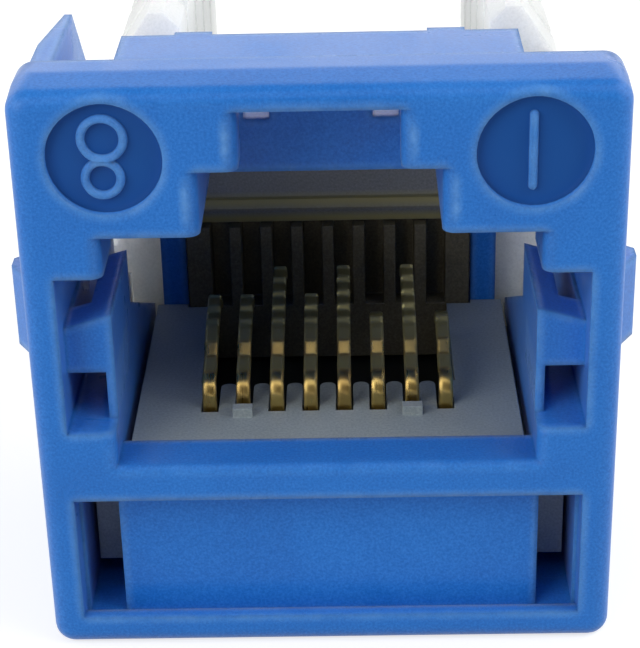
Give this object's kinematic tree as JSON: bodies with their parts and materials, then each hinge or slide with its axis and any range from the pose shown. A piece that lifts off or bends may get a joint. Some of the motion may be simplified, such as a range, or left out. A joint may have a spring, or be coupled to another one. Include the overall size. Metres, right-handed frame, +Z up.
{
  "type": "ethernet jack",
  "caption": "Snap-in modular network jack: blue front with a stepped plug port and sprung gold contacts, lock-in pockets, marker window and white wire posts behind.",
  "frame": {"origin": "underside of the jack, midway across and midway along its depth", "axes": "+X to the right seen from the plug side, +Y back from the plug side along the cable trough, +Z up"},
  "size_m": [0.0174, 0.03, 0.0175],
  "materials": {
    "housing_blue": "fine satin moulded plastic, saturated mid blue",
    "sled_white": "matte moulded plastic, cool white",
    "guide_black": "matte moulded plastic, black",
    "bar_natural": "satin moulded plastic, dark natural brown",
    "board_dark": "dark solder-resist lacquer over laminate",
    "rear_white": "fine satin moulded plastic, cool white",
    "contact_gold": "gold-plated, polished",
    "terminal_tin": "tin-plated, satin"
  },
  "bodies": {
    "jack": {"front_housing": "housing_blue", "contact_sled": "sled_white", "contact_guide": "guide_black", "guide_bar": "bar_natural", "circuit_board": "board_dark", "terminal_housing": "rear_white", "wire_terminal_1": "terminal_tin", "wire_terminal_2": "terminal_tin", "wire_terminal_3": "terminal_tin", "wire_terminal_4": "terminal_tin", "wire_terminal_5": "terminal_tin", "wire_terminal_6": "terminal_tin", "wire_terminal_7": "terminal_tin", "wire_terminal_8": "terminal_tin"},
    "contact_1": {"plug_contact_1": "contact_gold"},
    "contact_2": {"plug_contact_2": "contact_gold"},
    "contact_3": {"plug_contact_3": "contact_gold"},
    "contact_4": {"plug_contact_4": "contact_gold"},
    "contact_5": {"plug_contact_5": "contact_gold"},
    "contact_6": {"plug_contact_6": "contact_gold"},
    "contact_7": {"plug_contact_7": "contact_gold"},
    "contact_8": {"plug_contact_8": "contact_gold"}
  },
  "joints": [
    {"name": "contact_1_flex", "type": "hinge", "parent": "jack", "child": "contact_1", "pos_m": [0.00356, -0.0111, 0.0033], "axis": [-1, 0, 0], "range_deg": [0, 8], "stiffness_Nm_per_rad": 0.02},
    {"name": "contact_2_flex", "type": "hinge", "parent": "jack", "child": "contact_2", "pos_m": [0.00254, -0.0111, 0.0033], "axis": [-1, 0, 0], "range_deg": [0, 8], "stiffness_Nm_per_rad": 0.02},
    {"name": "contact_3_flex", "type": "hinge", "parent": "jack", "child": "contact_3", "pos_m": [0.00152, -0.0111, 0.0033], "axis": [-1, 0, 0], "range_deg": [0, 8], "stiffness_Nm_per_rad": 0.02},
    {"name": "contact_4_flex", "type": "hinge", "parent": "jack", "child": "contact_4", "pos_m": [0.00051, -0.0111, 0.0033], "axis": [-1, 0, 0], "range_deg": [0, 8], "stiffness_Nm_per_rad": 0.02},
    {"name": "contact_5_flex", "type": "hinge", "parent": "jack", "child": "contact_5", "pos_m": [-0.00051, -0.0111, 0.0033], "axis": [-1, 0, 0], "range_deg": [0, 8], "stiffness_Nm_per_rad": 0.02},
    {"name": "contact_6_flex", "type": "hinge", "parent": "jack", "child": "contact_6", "pos_m": [-0.00152, -0.0111, 0.0033], "axis": [-1, 0, 0], "range_deg": [0, 8], "stiffness_Nm_per_rad": 0.02},
    {"name": "contact_7_flex", "type": "hinge", "parent": "jack", "child": "contact_7", "pos_m": [-0.00254, -0.0111, 0.0033], "axis": [-1, 0, 0], "range_deg": [0, 8], "stiffness_Nm_per_rad": 0.02},
    {"name": "contact_8_flex", "type": "hinge", "parent": "jack", "child": "contact_8", "pos_m": [-0.00356, -0.0111, 0.0033], "axis": [-1, 0, 0], "range_deg": [0, 8], "stiffness_Nm_per_rad": 0.02}
  ]
}
